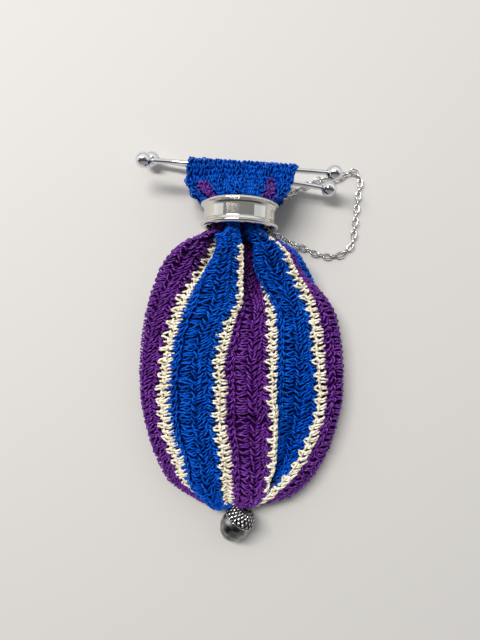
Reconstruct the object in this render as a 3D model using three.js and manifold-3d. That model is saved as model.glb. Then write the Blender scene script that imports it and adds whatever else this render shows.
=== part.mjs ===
// Bar and ring purse: a striped crocheted pouch whose gathered neck runs through a flared steel ring.
// Each half of its mouth is folded over a steel bar with a ball on each end. A closed loop of chain
// runs through the ring, and a cast acorn hangs at the foot.
// Millimetres. X across, Y along the purse towards its bars, Z up from the surface that it lies on.
// The pieces are placed from the point under the ring's centre, then moved to the middle of their box.
import * as THREE from 'three';
import { mergeVertices } from 'three/addons/utils/BufferGeometryUtils.js';
import Module from 'manifold-3d';

const wasm = await Module();
wasm.setup();

// Ring
const RING_WAIST_DIAMETER = 22.2;
const RING_FLANGE_DIAMETER = 24.4;
const RING_BORE_DIAMETER = 20.2;
const RING_LENGTH = 8;
const RING_TURN_DEG = -2.6;
const RING_CENTRE_Z = RING_FLANGE_DIAMETER / 2;

// Bars: a rod with a ball screwed on each end
const BALL_DIAMETER = 5;
const ROD_DIAMETER = 1.6;
const BALL_SPACING = 59.3;
const THREAD_DEPTH = 1.5;
const THREAD_GAP = 0.1;
const BARS = {
  front: { centre: [-0.2, 15.2, 13.6], turnDeg: -3.9, riseDeg: 0 },
  back: { centre: [0.1, 15.7, 4.3], turnDeg: -10.1, riseDeg: 1.7 },
};

// Casings: the two mouth flaps that are folded over the bars
const CASING_DIAMETER = 4.2;
const CASING_HOLE_DIAMETER = 2.3;
const FLAP_THICKNESS = 2.4;
const FLAP_START_Y = 5.2;
const FLAP_START_RADIUS = 7.2;
const FLAP_PLEAT_DEPTH = 0.5;
const FLAPS = {
  front: { side: 1, arcDeg: 62, halfLength: 17.4, shift: 1.0 },
  back: { side: -1, arcDeg: 56, halfLength: 17.4, shift: -0.6 },
};
const FLAP_WIDTHS = [
  { reach: 0, half: 6.2 },
  { reach: 0.22, half: 12.2 },
  { reach: 0.5, half: 16 },
  { reach: 1, half: 17.4 },
];

// Pouch wall and the way through its neck
const WALL = 1.8;
const NECK_WAY_RADIUS = 3.3;
const NECK_WAY_Z = 9.6;
const NECK_FROM_Y = -30;
const NECK_FULL_Y = -4.6;
const FOOT_LOBE_REACH = 0.9;
const FOOT_DIMPLE = { x: 1.8, z: 4.6, depth: 1.6 };

// Cross sections from the neck's top edge to the foot: half widths, and heights of widest, top and base
const SECTIONS = [
  { y: 4.7, left: 9.6, right: 9.6, mid: 12.2, top: 21.8, base: 2.6 },
  { y: -4.6, left: 9.6, right: 9.6, mid: 12.2, top: 21.8, base: 2.6 },
  { y: -7.2, left: 16.6, right: 12.8, mid: 10.6, top: 21.2, base: 0.4 },
  { y: -10.8, left: 23.2, right: 19.4, mid: 8.6, top: 19.2, base: -1.6 },
  { y: -17.5, left: 27.2, right: 24.6, mid: 6.8, top: 16.4, base: -2.5 },
  { y: -29, left: 30.2, right: 31, mid: 5.8, top: 14, base: -2.5 },
  { y: -44, left: 32.2, right: 33.6, mid: 5.3, top: 12.8, base: -2.5 },
  { y: -58, left: 32.6, right: 33.6, mid: 5, top: 12.2, base: -2.5 },
  { y: -70.5, left: 30.1, right: 30.8, mid: 4.8, top: 11.2, base: -2.5 },
  { y: -79, left: 26.4, right: 26.2, mid: 4.5, top: 10, base: -2.2 },
  { y: -85.5, left: 22.4, right: 21, mid: 4.2, top: 8.8, base: -1.6 },
  { y: -90, left: 16.6, right: 14, mid: 4, top: 7.4, base: -0.4 },
  { y: -92.4, left: 7.6, right: 7, mid: 3.8, top: 6, base: 1.4 },
];

// Stripes from the left edge over the front, then round the back. The seam is the cream stripe before
// each coloured one. Values hold at four stations along the purse; lifts are outwards from the section.
const STATION_Y = [-4.6, -34, -66, -90];
const STRIPES = [
  {
    name: 'left_purple',
    seamDeg: [194, 214, 217, 205],
    seamLift: [-4.2, -0.6, -0.4, -2],
    crestLift: [0, 0.3, 0.3, 0],
  },
  {
    name: 'left_blue',
    seamDeg: [137, 134.5, 141, 150],
    seamLift: [-4.2, -0.3, 0, -1],
    crestLift: [0, 1.5, 0.8, 3],
  },
  {
    name: 'mid_purple',
    seamDeg: [95, 96.5, 102, 100],
    seamLift: [-4, -0.2, 0.2, -1.5],
    crestLift: [-5.2, -1.2, -0.4, 2],
  },
  {
    name: 'right_blue',
    seamDeg: [87, 72, 72, 66],
    seamLift: [-4.2, -0.6, 1, -0.5],
    crestLift: [0, 0.8, -2.4, -3],
  },
  {
    name: 'right_purple',
    seamDeg: [33, 40.5, 40.8, 55],
    seamLift: [-4.2, 0.2, 1.3, 0.8],
    crestLift: [0, 0.6, 0.6, 0.8],
  },
  {
    name: 'back_right_blue',
    seamDeg: [-12, -40, -43, -20],
    seamLift: [-5, -0.6, -0.4, -2],
    crestLift: [0, 0.5, 0.2, 0],
  },
  {
    name: 'back_purple',
    seamDeg: [-62, -79, -79, -70],
    seamLift: [-2.4, -0.5, -0.4, -2],
    crestLift: [0, 0, 0, 0],
  },
  {
    name: 'back_left_blue',
    seamDeg: [-112, -110, -110, -112],
    seamLift: [-2.4, -0.5, -0.4, -2],
    crestLift: [0, 0.3, 0.2, 0],
  },
];
const CREST_SHARPNESS = 0.8;
const SAMPLES_PER_STRIPE = 4;
const POUCH_ROWS = 19;

// The dent across the middle of the front
const DENT = { x: 3, y: -66, spanX: 6, spanY: 3, depth: 1.6 };

// Chain
const LINK_LENGTH = 2.95;
const LINK_WIDTH = 2.1;
const LINK_WIRE = 0.46;
const LINK_COUNT = 50;
const LINK_ROLL_DEG = 38;
const CHAIN_ROUTE = [
  [8.3, 0, 10.4],
  [8.3, 4.4, 10.5],
  [9.9, 6.8, 10.9],
  [13, 7, 10],
  [15.8, 7.7, 6.6],
  [17.4, 9.2, 2.8],
  [19, 11.1, 1.1],
  [21.3, 12.5, 1],
  [24.3, 13.9, 1],
  [28.6, 15.2, 1],
  [32.4, 14.9, 1],
  [35.6, 16.7, 1],
  [38.2, 17.4, 1],
  [40.3, 15, 1],
  [39.9, 9.8, 1],
  [39.2, 4, 1],
  [38.5, -2, 1],
  [37.8, -6.6, 1],
  [34.6, -10, 1],
  [30, -11, 1],
  [25.3, -10, 1],
  [20.8, -7.9, 1.3],
  [17.3, -7.3, 3.6],
  [14.3, -6.8, 7.2],
  [10.9, -6.1, 9.7],
  [8.3, -4.3, 10.4],
];

// Acorn
const CAP_RADIUS = 4.8;
const NUT_RADIUS = 3.9;
const ACORN_LENGTH = 12.2;
const SCALE_DEPTH = 0.35;
const ACORN_LOOP = { radius: 0.8, wire: 0.6 };
const ACORN_TOP = [1.6, -94.4, 5.2];
const ACORN_TURN_DEG = 32;
const ACORN_DROP_DEG = 6;

const finish = (color, metalness, roughness) =>
  new THREE.MeshStandardMaterial({ color, metalness, roughness });
const metal = (colour) => finish(colour, 1, 0.2);
const cloth = (colour) => finish(colour, 0, 0.8);

// Smooth helpers
const clamp01 = (t) => Math.min(1, Math.max(0, t));
const ease = (t) => clamp01(t) ** 2 * (3 - 2 * clamp01(t));
const mix = (a, b, t) => a + (b - a) * t;
const radians = THREE.MathUtils.degToRad;

// A column of the section table at a place between its rows, as a smooth curve through them
function sectionAt(key, place) {
  const i = Math.min(Math.floor(place), SECTIONS.length - 2);
  const t = place - i;
  const row = (n) => SECTIONS[Math.min(SECTIONS.length - 1, Math.max(0, n))][key];
  const before = row(i - 1);
  const from = row(i);
  const to = row(i + 1);
  const after = row(i + 2);
  const startSlope = i === 0 ? to - from : (to - before) / 2;
  const endSlope = i === SECTIONS.length - 2 ? to - from : (after - from) / 2;
  return (
    from +
    startSlope * t +
    (3 * (to - from) - 2 * startSlope - endSlope) * t ** 2 +
    (2 * (from - to) + startSlope + endSlope) * t ** 3
  );
}

// A stripe's value between the four stations
function stationMix(values, y) {
  for (let n = 0; n < 3; n += 1) {
    if (y > STATION_Y[n + 1]) {
      return mix(values[n], values[n + 1], ease((STATION_Y[n] - y) / (STATION_Y[n] - STATION_Y[n + 1])));
    }
  }
  return values[3];
}

// Angle round the section and lift from it, at a place across the stripes (0 to 8)
function foldAt(across, y) {
  const k = Math.floor(across) % STRIPES.length;
  const local = across - Math.floor(across);
  const here = STRIPES[k];
  const next = STRIPES[(k + 1) % STRIPES.length];
  const fullTurn = k === STRIPES.length - 1 ? 360 : 0;
  const degrees = mix(stationMix(here.seamDeg, y), stationMix(next.seamDeg, y) - fullTurn, local);
  const seam = mix(stationMix(here.seamLift, y), stationMix(next.seamLift, y), local);
  const rise = Math.sin(Math.PI * local) ** CREST_SHARPNESS;
  return { angle: radians(degrees), lift: mix(seam, stationMix(here.crestLift, y), rise) };
}

// A point of the pouch: its outer face, or its inner face with the plain round way through the neck
function pouchPoint(across, place, inner) {
  const y = sectionAt('y', place);
  const { angle, lift } = foldAt(across, y);
  const c = Math.cos(angle);
  const s = Math.sin(angle);
  const neck = ease((y - NECK_FROM_Y) / (NECK_FULL_Y - NECK_FROM_Y));
  const foot = ease((y - STATION_Y[2]) / (STATION_Y[3] - STATION_Y[2]));
  let mid = sectionAt('mid', place);
  let wide = sectionAt(c < 0 ? 'left' : 'right', place);
  let tall = s > 0 ? sectionAt('top', place) - mid : mid - sectionAt('base', place);
  let out = lift;
  if (inner) {
    mid = mix(mid, NECK_WAY_Z, neck);
    wide = mix(wide - WALL, NECK_WAY_RADIUS, neck);
    tall = mix(tall - WALL, NECK_WAY_RADIUS, neck);
    out = lift * (1 - neck);
  }
  const lobe = FOOT_LOBE_REACH * foot * lift * clamp01(wide / 12);
  const normal = new THREE.Vector2(c / wide, s / tall).normalize();
  const x = wide * c + normal.x * out;
  let z = mid + tall * s + normal.y * out;
  if (s > 0) {
    z -= DENT.depth * Math.exp(-(((x - DENT.x) / DENT.spanX) ** 2) - ((y - DENT.y) / DENT.spanY) ** 2);
  }
  const floor = inner ? WALL : 0;
  const end = inner ? WALL * foot : 0;
  return [x, y - lobe + end, Math.max(z, floor)];
}

// Closed mesh from points and triangles, facing out
function closedMesh(points, triangles) {
  const geometry = new THREE.BufferGeometry();
  geometry.setAttribute('position', new THREE.Float32BufferAttribute(points.flat(), 3));
  geometry.setIndex(triangles.flat());
  return geometry;
}

// A skin of rings of equal count, one after the other
function bandTriangles(start, rings, count, flip) {
  const triangles = [];
  for (let r = 0; r < rings - 1; r += 1) {
    for (let i = 0; i < count; i += 1) {
      const a = start + r * count + i;
      const b = start + r * count + ((i + 1) % count);
      const c = a + count;
      const d = b + count;
      triangles.push(flip ? [a, b, d] : [a, d, b]);
      triangles.push(flip ? [a, d, c] : [a, c, d]);
    }
  }
  return triangles;
}

function pouchGeometry() {
  const count = STRIPES.length * SAMPLES_PER_STRIPE;
  const points = [];
  for (const inner of [false, true]) {
    for (let r = 0; r <= POUCH_ROWS; r += 1) {
      for (let i = 0; i < count; i += 1) {
        points.push(pouchPoint(i / SAMPLES_PER_STRIPE, (r / POUCH_ROWS) * (SECTIONS.length - 1), inner));
      }
    }
  }
  const rings = POUCH_ROWS + 1;
  const inside = rings * count;
  const triangles = bandTriangles(0, rings, count, false);
  triangles.push(...bandTriangles(inside, rings, count, true));
  const footY = SECTIONS[SECTIONS.length - 1].y + FOOT_DIMPLE.depth;
  const outerFoot = points.push([FOOT_DIMPLE.x, footY, FOOT_DIMPLE.z]) - 1;
  const innerFoot = points.push([FOOT_DIMPLE.x, footY + WALL, FOOT_DIMPLE.z]) - 1;
  for (let i = 0; i < count; i += 1) {
    const j = (i + 1) % count;
    const outerLast = (rings - 1) * count;
    triangles.push([outerFoot, outerLast + j, outerLast + i]);
    triangles.push([innerFoot, inside + outerLast + i, inside + outerLast + j]);
    triangles.push([i, j, inside + j]);
    triangles.push([i, inside + j, inside + i]);
  }
  return closedMesh(points, triangles);
}

// Joining and cutting
function solidOf(geometry) {
  const plain = geometry.clone();
  plain.deleteAttribute('normal');
  plain.deleteAttribute('uv');
  const merged = mergeVertices(plain, 1e-4);
  return new wasm.Manifold(
    new wasm.Mesh({
      numProp: 3,
      vertProperties: merged.attributes.position.array,
      triVerts: new Uint32Array(merged.index.array),
    }),
  );
}

function geometryOf(solid) {
  const mesh = solid.getMesh();
  const geometry = new THREE.BufferGeometry();
  geometry.setAttribute('position', new THREE.Float32BufferAttribute(mesh.vertProperties, 3));
  geometry.setIndex(new THREE.Uint32BufferAttribute(mesh.triVerts, 1));
  return geometry;
}

// The frame of a bar: its own X axis runs along the rod
function barMatrix(bar) {
  const turn = new THREE.Euler(0, -radians(bar.riseDeg), radians(bar.turnDeg), 'ZYX');
  const matrix = new THREE.Matrix4().makeRotationFromEuler(turn);
  return matrix.setPosition(...bar.centre);
}

// A straight rod along a bar's axis, from one place to another
function rodGeometry(bar, diameter, from, to, sides) {
  const rod = new THREE.CylinderGeometry(diameter / 2, diameter / 2, to - from, sides);
  rod.rotateZ(-Math.PI / 2).translate((from + to) / 2, 0, 0);
  return rod.applyMatrix4(barMatrix(bar));
}

function ballGeometry(bar, sign) {
  const centre = (sign * BALL_SPACING) / 2;
  const ball = new THREE.SphereGeometry(BALL_DIAMETER / 2, 10, 7);
  ball.rotateZ(Math.PI / 2).translate(centre, 0, 0).applyMatrix4(barMatrix(bar));
  const mouth = centre - (sign * BALL_DIAMETER) / 2;
  const ends = [mouth - sign, mouth + sign * (THREAD_DEPTH + 2 * THREAD_GAP)].sort((a, b) => a - b);
  const socket = rodGeometry(bar, ROD_DIAMETER + 2 * THREAD_GAP, ends[0], ends[1], 10);
  return geometryOf(solidOf(ball).subtract(solidOf(socket)));
}

function barRodGeometry(bar) {
  const reach = BALL_SPACING / 2 - BALL_DIAMETER / 2 + THREAD_DEPTH;
  return rodGeometry(bar, ROD_DIAMETER, -reach, reach, 10);
}

// Half width of a flap on its way from the ring (0) to the bar (1)
function flapHalfWidth(reach) {
  for (let n = 0; n < FLAP_WIDTHS.length - 1; n += 1) {
    const from = FLAP_WIDTHS[n];
    const to = FLAP_WIDTHS[n + 1];
    const share = (reach - from.reach) / (to.reach - from.reach);
    if (reach <= to.reach) return mix(from.half, to.half, share);
  }
  return FLAP_WIDTHS[FLAP_WIDTHS.length - 1].half;
}

// Middle surface of a flap: an arc at the neck that opens out to the straight bar
function flapPoint(flap, bar, across, reach) {
  const along = across * flapHalfWidth(reach);
  const onBar = new THREE.Vector3(along + flap.shift, 0, 0).applyMatrix4(barMatrix(bar));
  const arc = (1 - reach) ** 1.3 * FLAP_START_RADIUS * Math.cos(across * radians(flap.arcDeg));
  const pleat = FLAP_PLEAT_DEPTH * (1 - reach) * Math.cos(across * Math.PI * 4);
  const rest = mix(RING_CENTRE_Z, onBar.z, reach);
  return new THREE.Vector3(
    mix(along, onBar.x, reach),
    mix(FLAP_START_Y, onBar.y, reach),
    rest + flap.side * (arc + pleat),
  );
}

function flapGeometry(flap, bar) {
  const columns = 10;
  const rows = 5;
  const step = 0.01;
  const faces = [[], []];
  for (let r = 0; r <= rows; r += 1) {
    for (let c = 0; c <= columns; c += 1) {
      const across = (c / columns) * 2 - 1;
      const reach = r / rows;
      const here = flapPoint(flap, bar, across, reach);
      const beside = flapPoint(flap, bar, across + step, reach).sub(here);
      const near = Math.min(reach, 1 - step);
      const ahead = flapPoint(flap, bar, across, near + step).sub(flapPoint(flap, bar, across, near));
      const normal = beside.cross(ahead);
      if (r === 0) normal.y = 0;
      normal.setLength(FLAP_THICKNESS / 2);
      faces[0].push(here.clone().add(normal).toArray());
      faces[1].push(here.clone().sub(normal).toArray());
    }
  }
  const width = columns + 1;
  const under = faces[0].length;
  const triangles = [];
  const quad = (a, b, c, d) => triangles.push([a, b, c], [a, c, d]);
  for (let r = 0; r < rows; r += 1) {
    for (let c = 0; c < columns; c += 1) {
      const a = r * width + c;
      quad(a, a + 1, a + 1 + width, a + width);
      quad(under + a, under + a + width, under + a + 1 + width, under + a + 1);
    }
    const left = r * width;
    const right = left + columns;
    quad(left, left + width, under + left + width, under + left);
    quad(right, under + right, under + right + width, right + width);
  }
  for (let c = 0; c < columns; c += 1) {
    const far = rows * width + c;
    quad(c, under + c, under + c + 1, c + 1);
    quad(far, far + 1, under + far + 1, under + far);
  }
  return closedMesh([...faces[0], ...faces[1]], triangles);
}

// A flap joined to the tube round its bar, with the bar's channel cut through
function casingGeometry(flap, bar) {
  const from = flap.shift - flap.halfLength;
  const to = flap.shift + flap.halfLength;
  const tube = solidOf(rodGeometry(bar, CASING_DIAMETER, from, to, 12));
  const channel = solidOf(rodGeometry(bar, CASING_HOLE_DIAMETER, from - 5, to + 5, 12));
  return geometryOf(solidOf(flapGeometry(flap, bar)).add(tube).subtract(channel));
}

// Spool-shaped ring: a plain bore, a flat waist and a rounded flare at each end
function ringGeometry() {
  const bore = RING_BORE_DIAMETER / 2;
  const waist = RING_WAIST_DIAMETER / 2;
  const flange = RING_FLANGE_DIAMETER / 2;
  const half = RING_LENGTH / 2;
  const profile = [
    [bore, -half + 0.7],
    [bore + 0.5, -half + 0.1],
    [flange - 0.5, -half],
    [flange, -half + 0.5],
    [flange - 0.5, -half + 1],
    [waist, -half + 1.8],
    [waist, half - 1.8],
    [flange - 0.5, half - 1],
    [flange, half - 0.5],
    [flange - 0.5, half],
    [bore + 0.5, half - 0.1],
    [bore, half - 0.7],
    [bore, -half + 0.7],
  ].map(([r, y]) => new THREE.Vector2(r, y));
  const ring = new THREE.LatheGeometry(profile, 24);
  return ring.rotateZ(radians(RING_TURN_DEG)).translate(0, 0, RING_CENTRE_Z);
}

// One oval link, its length along X
function linkGeometry() {
  const radius = (LINK_WIDTH - LINK_WIRE) / 2;
  const stretch = (LINK_LENGTH - LINK_WIDTH) / 2;
  const link = new THREE.TorusGeometry(radius, LINK_WIRE / 2, 5, 10);
  const position = link.getAttribute('position');
  for (let i = 0; i < position.count; i += 1) {
    const turn = Math.floor(i % 11) / 10;
    const side = Math.cos(2 * Math.PI * turn) > 0 ? 1 : -1;
    position.setX(i, position.getX(i) + side * stretch);
  }
  return link;
}

function chainGeometry() {
  const route = new THREE.CatmullRomCurve3(
    CHAIN_ROUTE.map((p) => new THREE.Vector3(...p)),
    true,
    'centripetal',
  );
  route.arcLengthDivisions = 2000;
  const up = new THREE.Vector3(0, 0, 1);
  let chain = null;
  for (let n = 0; n < LINK_COUNT; n += 1) {
    const centre = route.getPointAt(n / LINK_COUNT);
    const along = route.getTangentAt(n / LINK_COUNT).normalize();
    const across = new THREE.Vector3().crossVectors(up, along).normalize();
    const above = new THREE.Vector3().crossVectors(along, across);
    const roll = radians(n % 2 === 0 ? LINK_ROLL_DEG : LINK_ROLL_DEG - 90);
    const frame = new THREE.Matrix4().makeBasis(along, across, above).setPosition(centre);
    const link = linkGeometry().rotateX(roll).applyMatrix4(frame);
    chain = chain ? chain.add(solidOf(link)) : solidOf(link);
  }
  return geometryOf(chain);
}

// Acorn: scaled cap and smooth nut in one casting, axis along its own -Y, top at its origin
function acornGeometry() {
  const profile = [
    [0, 0],
    [1.6, -0.25],
    [3, -0.9],
    [4, -1.8],
    [4.55, -2.8],
    [CAP_RADIUS, -3.8],
    [CAP_RADIUS - 0.25, -4.7],
    [NUT_RADIUS, -4.9],
    [NUT_RADIUS, -6.4],
    [NUT_RADIUS - 0.45, -8.4],
    [NUT_RADIUS - 1.5, -10.3],
    [1.1, -11.5],
    [0.5, -11.9],
    [0, -ACORN_LENGTH],
  ].map(([r, y]) => new THREE.Vector2(r, y));
  const segments = 16;
  const body = new THREE.LatheGeometry(profile.reverse(), segments);
  const position = body.getAttribute('position');
  for (let i = 0; i < position.count; i += 1) {
    const row = profile.length - 1 - (i % profile.length);
    const column = Math.floor(i / profile.length) % segments;
    const onCap = row >= 2 && row <= 5;
    const low = (column + row) % 2 === 0;
    if (onCap && low) {
      const radius = Math.hypot(position.getX(i), position.getZ(i));
      const shrink = (radius - SCALE_DEPTH) / radius;
      position.setX(i, position.getX(i) * shrink);
      position.setZ(i, position.getZ(i) * shrink);
    }
  }
  const loop = new THREE.TorusGeometry(ACORN_LOOP.radius, ACORN_LOOP.wire / 2, 6, 10);
  loop.translate(0, ACORN_LOOP.radius, 0);
  const joined = geometryOf(solidOf(body).add(solidOf(loop)));
  joined.rotateX(radians(ACORN_DROP_DEG)).rotateZ(-radians(ACORN_TURN_DEG));
  return joined.translate(...ACORN_TOP);
}

// The assembly
const steel = metal('#c9c6c2');
const silver = metal('#b4b1ab');
const blueYarn = cloth('#1c3fa8');
const stripedYarn = cloth('#4a2a9a');
const pieces = {
  pouch_body: [pouchGeometry(), stripedYarn],
  front_casing: [casingGeometry(FLAPS.front, BARS.front), blueYarn],
  back_casing: [casingGeometry(FLAPS.back, BARS.back), blueYarn],
  ring: [ringGeometry(), steel],
  front_bar_rod: [barRodGeometry(BARS.front), steel],
  front_bar_ball_left: [ballGeometry(BARS.front, -1), steel],
  front_bar_ball_right: [ballGeometry(BARS.front, 1), steel],
  back_bar_rod: [barRodGeometry(BARS.back), steel],
  back_bar_ball_left: [ballGeometry(BARS.back, -1), steel],
  back_bar_ball_right: [ballGeometry(BARS.back, 1), steel],
  chain: [chainGeometry(), steel],
  acorn_charm: [acornGeometry(), silver],
};
const purse = new THREE.Group();
for (const [name, [geometry, material]] of Object.entries(pieces)) {
  const mesh = new THREE.Mesh(geometry, material);
  mesh.name = name;
  purse.add(mesh);
}
const box = new THREE.Box3().setFromObject(purse, true);
const middle = box.getCenter(new THREE.Vector3());
for (const mesh of purse.children) mesh.geometry.translate(-middle.x, -middle.y, -box.min.z);

export default purse;
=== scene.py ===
import math

import bpy
import numpy as np
from mathutils import Matrix, Vector


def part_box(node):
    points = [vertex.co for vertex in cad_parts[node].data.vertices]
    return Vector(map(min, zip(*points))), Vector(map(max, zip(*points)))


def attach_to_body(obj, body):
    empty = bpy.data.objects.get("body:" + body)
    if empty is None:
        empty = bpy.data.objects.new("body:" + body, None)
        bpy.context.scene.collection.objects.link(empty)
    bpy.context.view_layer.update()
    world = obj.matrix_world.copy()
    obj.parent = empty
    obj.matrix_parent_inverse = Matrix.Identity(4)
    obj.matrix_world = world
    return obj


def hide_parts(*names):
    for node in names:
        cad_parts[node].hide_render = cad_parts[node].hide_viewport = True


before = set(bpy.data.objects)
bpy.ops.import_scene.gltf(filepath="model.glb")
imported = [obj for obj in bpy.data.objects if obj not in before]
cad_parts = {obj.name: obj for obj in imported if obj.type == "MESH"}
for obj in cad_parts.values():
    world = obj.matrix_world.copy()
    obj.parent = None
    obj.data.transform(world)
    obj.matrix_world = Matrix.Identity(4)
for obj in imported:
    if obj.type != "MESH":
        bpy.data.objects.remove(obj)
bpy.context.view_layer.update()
scene = bpy.context.scene
scene.view_settings.view_transform = "Standard"

# sizes below are millimetres from the point on the table under the ring's centre
ringLow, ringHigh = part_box("ring")
home = np.array([(ringLow.x + ringHigh.x) / 2, (ringLow.y + ringHigh.y) / 2, 0.0])
print("frame loaded, ring stands over", home.round(5).tolist())


def toFrame(points):
    return np.asarray(points, float) * 0.001 + home


def addObject(name, data):
    thing = bpy.data.objects.new(name, data)
    scene.collection.objects.link(thing)
    return thing


# rows of a table as dictionaries with the named columns
def table(columns, *rows):
    return [dict(zip(columns.split(), row)) for row in rows]


# camera straight above, where the photograph was taken from
shot = {"aim": (0.125, -32.38), "height": 165.0, "lens": 27.47, "sensor": 36.0, "near": 0.01}
cameraData = bpy.data.cameras.new("photoCamera")
cameraData.sensor_width = shot["sensor"]
cameraData.lens = shot["lens"]
cameraData.clip_start = shot["near"]
camera = addObject("photoCamera", cameraData)
camera.location = toFrame((*shot["aim"], shot["height"]))
scene.camera = camera


# node helpers: a feed is a plain value, a node, which means its first output, or a node and an output's name
def pick(sockets, key):
    if isinstance(key, int):
        return sockets[key]
    return next(s for s in sockets if s.name == key and s.enabled)


def feed(node, feeds):
    for key, value in feeds.items():
        target = pick(node.inputs, key)
        source, *output = value if isinstance(value, tuple) else (value,)
        if isinstance(source, bpy.types.Node):
            first = next(s for s in source.outputs if s.enabled)
            node.id_data.links.new(pick(source.outputs, output[0]) if output else first, target)
        else:
            target.default_value = value


def nodesOf(tree):
    def add(kind, feeds=None, **settings):
        node = tree.nodes.new(kind)
        for key, value in settings.items():
            setattr(node, key, value)
        feed(node, feeds or {})
        return node

    return add


def newTree(name, kind, inputs, outputs):
    tree = bpy.data.node_groups.new(name, kind)
    for side, sockets in (("INPUT", inputs), ("OUTPUT", outputs)):
        for key, value in sockets.items():
            tree.interface.new_socket(name=key, in_out=side, socket_type="NodeSocket" + value)
    add = nodesOf(tree)
    return tree, add, add("NodeGroupInput")


def mathNode(add, operation, first, second=0.0):
    return add("ShaderNodeMath", {0: first, 1: second}, operation=operation)


def vectorNode(add, operation, first, second):
    key = "Scale" if operation == "SCALE" else 1
    return add("ShaderNodeVectorMath", {0: first, key: second}, operation=operation)


def blend(add, factor, first, second):
    return add("ShaderNodeMix", {"Factor": factor, "A": first, "B": second}, data_type="RGBA")


def noise(add, place, scale, detail):
    return add("ShaderNodeTexNoise", {"Vector": place, "Scale": scale, "Detail": detail})


def bumpNode(add, height, strength, distance):
    return add("ShaderNodeBump", {"Height": height, "Strength": strength, "Distance": distance})


def attribute(add, name):
    return add("ShaderNodeAttribute", attribute_name=name), "Fac"


def objectPlace(add):
    return add("ShaderNodeTexCoord"), "Object"


# fine marks that handling leaves on metal
marksFinish = {
    "smear": 260.0, "smearDetail": 4.0, "line": 5200.0, "lineDetail": 3.0, "lineStretch": (1.0, 0.12, 1.0),
    "from": 0.35, "to": 0.7, "depth": 0.00002,
}


def makeMarksGroup():
    look = marksFinish
    tree, add, given = newTree(
        "handlingMarks", "ShaderNodeTree", {"Place": "Vector", "Low": "Float", "High": "Float"},
        {"Roughness": "Float", "Height": "Float"})
    smear = noise(add, (given, "Place"), look["smear"], look["smearDetail"])
    stretch = add("ShaderNodeMapping", {"Vector": (given, "Place"), "Scale": look["lineStretch"]})
    line = noise(add, stretch, look["line"], look["lineDetail"])
    rough = add("ShaderNodeMapRange", {
        "Value": smear, "From Min": look["from"], "From Max": look["to"],
        "To Min": (given, "Low"), "To Max": (given, "High")})
    add("NodeGroupOutput", {"Roughness": rough, "Height": line})
    return tree


marksGroup = makeMarksGroup()


# mercerised cotton: plain tone by strand, fibre mottling and twisted plies
yarnColours = {row["yarn"]: row for row in table(
    "yarn deep bright gloss",
    ("blue", (0.001, 0.027, 0.29, 1), (0.002, 0.102, 0.66, 1), (0.06, 0.64, 1.0, 1)),
    ("purple", (0.070, 0.005, 0.15, 1), (0.17, 0.027, 0.32, 1), (0.8, 0.62, 1.0, 1)),
    ("cream", (0.70, 0.63, 0.47, 1), (0.95, 0.90, 0.73, 1), (1.0, 0.97, 0.9, 1)))}
yarnFinish = {
    "turns": 0.62, "plies": 3.0, "ply": 0.5, "plyDepth": 0.00012, "roughness": 0.42, "shine": 0.55,
    "fibre": 2400.0, "fibreDetail": 3.0, "contrast": 0.9, "start": -0.4,
}


# twisted plies of a thread, from the place along and around it
def makePlyGroup():
    tree, add, given = newTree(
        "plyTwist", "ShaderNodeTree", {"Along": "Float", "Around": "Float", "Turns": "Float"},
        {"Height": "Float"})
    climb = mathNode(add, "MULTIPLY", (given, "Along"), (given, "Turns"))
    turn = mathNode(add, "MULTIPLY", (given, "Around"), yarnFinish["plies"])
    angle = mathNode(add, "MULTIPLY", mathNode(add, "ADD", climb, turn), 2 * math.pi)
    add("NodeGroupOutput", {"Height": mathNode(add, "SINE", angle)})
    return tree


plyGroup = makePlyGroup()


def newMaterial(name):
    material = bpy.data.materials.new(name)
    material.use_nodes = True
    tree = material.node_tree
    return material, nodesOf(tree), tree.nodes["Principled BSDF"]


def yarnColour(add, colour, factor):
    return blend(add, factor, yarnColours[colour]["deep"], yarnColours[colour]["bright"])


def makeYarn(name, colour, patchColour=None):
    look = yarnFinish
    material, add, shader = newMaterial(name)
    fibre = noise(add, objectPlace(add), look["fibre"], look["fibreDetail"])
    mixed = mathNode(add, "ADD", attribute(add, "tone"), fibre)
    factor = add(
        "ShaderNodeMath", {0: mixed, 1: look["contrast"], 2: look["start"]},
        operation="MULTIPLY_ADD", use_clamp=True)
    base = yarnColour(add, colour, factor)
    if patchColour:
        base = blend(add, attribute(add, "patch"), base, yarnColour(add, patchColour, factor))
    ply = add("ShaderNodeGroup", {
        "Along": attribute(add, "along"), "Around": attribute(add, "around"), "Turns": look["turns"]},
        node_tree=plyGroup)
    feed(shader, {
        "Base Color": base, "Normal": bumpNode(add, ply, look["ply"], look["plyDepth"]),
        "Roughness": look["roughness"], "Specular IOR Level": look["shine"],
        "Specular Tint": yarnColours[colour]["gloss"]})
    return material


# the cloth below the stitches takes each stripe's colour, darkened nearly to black as painted shade for the
# gaps between the strands
wallFinish = {
    "fibre": 900.0, "fibreDetail": 4.0, "dark": 0.9, "knots": 700.0, "bump": 0.8, "bumpDepth": 0.0005,
    "roughness": 0.9, "shine": 0.02,
}


def makeWallCloth(name):
    look = wallFinish
    material, add, shader = newMaterial(name)
    place = objectPlace(add)
    fibre = noise(add, place, look["fibre"], look["fibreDetail"])
    blue, purple, cream = [yarnColour(add, colour, fibre) for colour in ("blue", "purple", "cream")]
    pair = blend(add, attribute(add, "stripe"), blue, purple)
    edge = blend(add, attribute(add, "seam"), pair, cream)
    knots = add("ShaderNodeTexVoronoi", {"Vector": place, "Scale": look["knots"]})
    feed(shader, {
        # mixing most of the way to black paints the shade that falls in the gaps between the strands
        "Base Color": blend(add, look["dark"], edge, (0.0, 0.0, 0.0, 1)),
        "Normal": bumpNode(add, knots, look["bump"], look["bumpDepth"]),
        "Roughness": look["roughness"], "Specular IOR Level": look["shine"]})
    return material


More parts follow.
